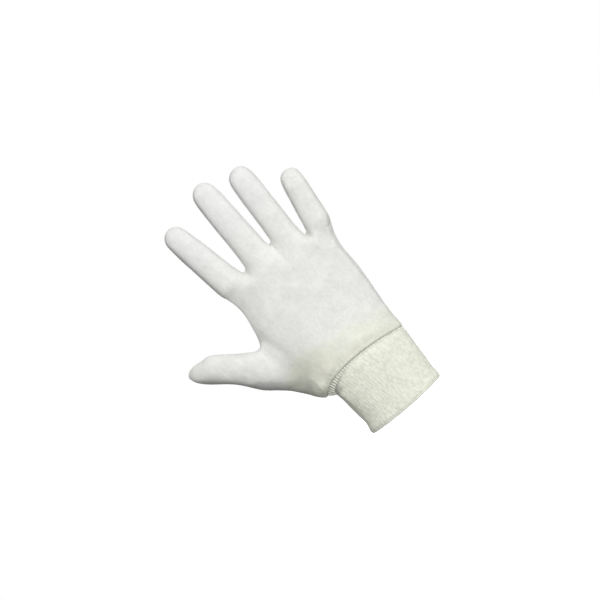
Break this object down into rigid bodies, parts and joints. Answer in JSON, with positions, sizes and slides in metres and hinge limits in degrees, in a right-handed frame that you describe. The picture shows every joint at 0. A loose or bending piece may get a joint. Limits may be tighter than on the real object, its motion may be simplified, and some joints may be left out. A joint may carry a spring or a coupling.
{
  "type": "cotton work glove",
  "caption": "Plain off-white cotton jersey work glove for the right hand, filled as if worn, fingers spread, with a ribbed knit wrist cuff.",
  "frame": {"origin": "middle of the cuff's open end, where the wrist goes in", "axes": "+Z along the hand to the fingertips, -Y out of the back of the hand, -X on the thumb's side"},
  "size_m": [0.1897, 0.0424, 0.2608],
  "materials": {
    "cotton_jersey": "soft matt cotton jersey, warm white",
    "rib_knit": "matt rib knit, cream"
  },
  "bodies": {
    "root": {"back_panel": "cotton_jersey", "palm_panel": "cotton_jersey", "knit_cuff": "rib_knit"}
  },
  "joints": []
}
